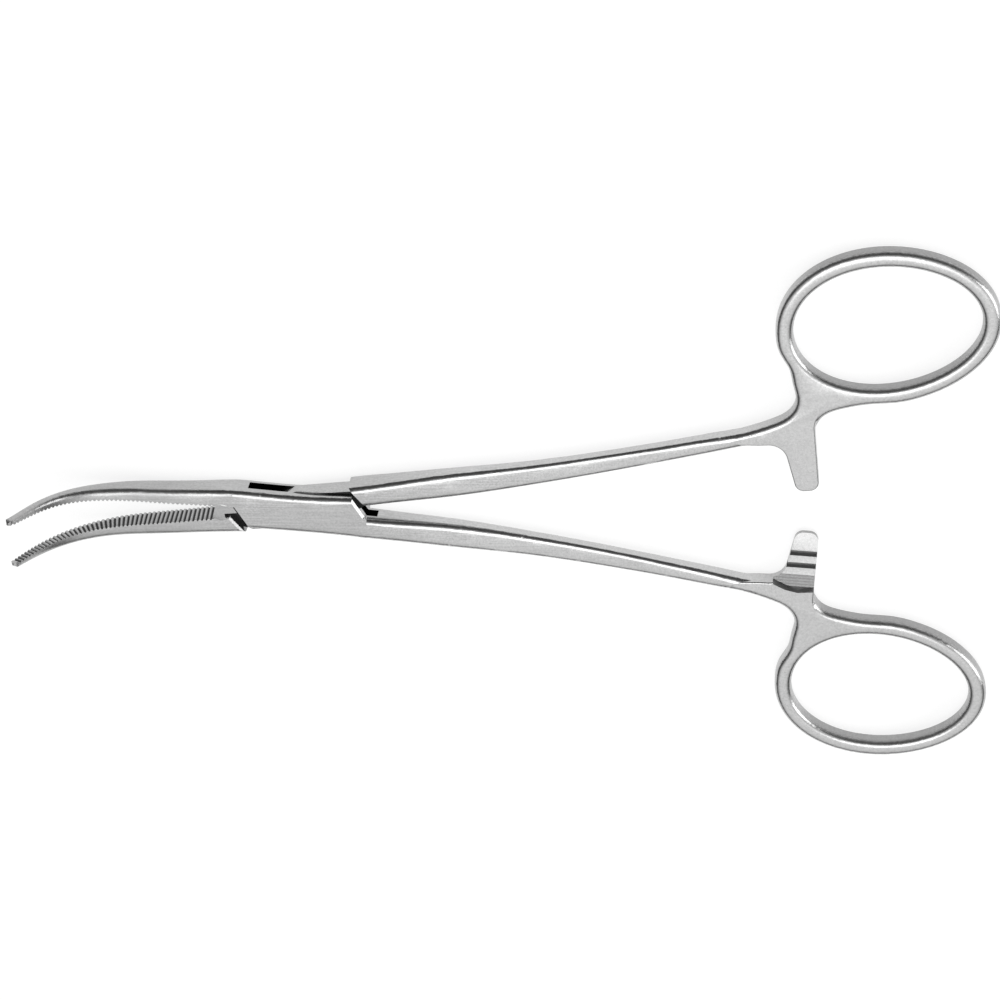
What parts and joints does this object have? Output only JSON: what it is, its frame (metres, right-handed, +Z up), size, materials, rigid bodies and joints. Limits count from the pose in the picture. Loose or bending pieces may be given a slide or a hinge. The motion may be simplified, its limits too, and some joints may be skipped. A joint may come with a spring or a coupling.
{
  "type": "hemostat forceps",
  "caption": "Curved, fully serrated surgical clamp with a box lock, finger rings and a ratchet between the rings.",
  "frame": {"origin": "on the pivot axis, at the flat underside of the box lock", "axes": "+X from the pivot towards the finger rings, along the middle line between the halves; +Y towards the ring of the half with the tang; +Z up from the surface it lies on, the way the jaw tips curve"},
  "size_m": [0.1385, 0.0812, 0.014],
  "materials": {
    "satin_steel": "satin"
  },
  "bodies": {
    "box": {"box_half": "satin_steel", "pivot_pin": "satin_steel"},
    "tang": {"tang_half": "satin_steel"}
  },
  "joints": [
    {"name": "pivot_hinge", "type": "hinge", "parent": "box", "child": "tang", "pos_m": [0, 0, 0.00215], "axis": [0, 0, 1], "range_deg": [-8.5, 81.4]}
  ]
}
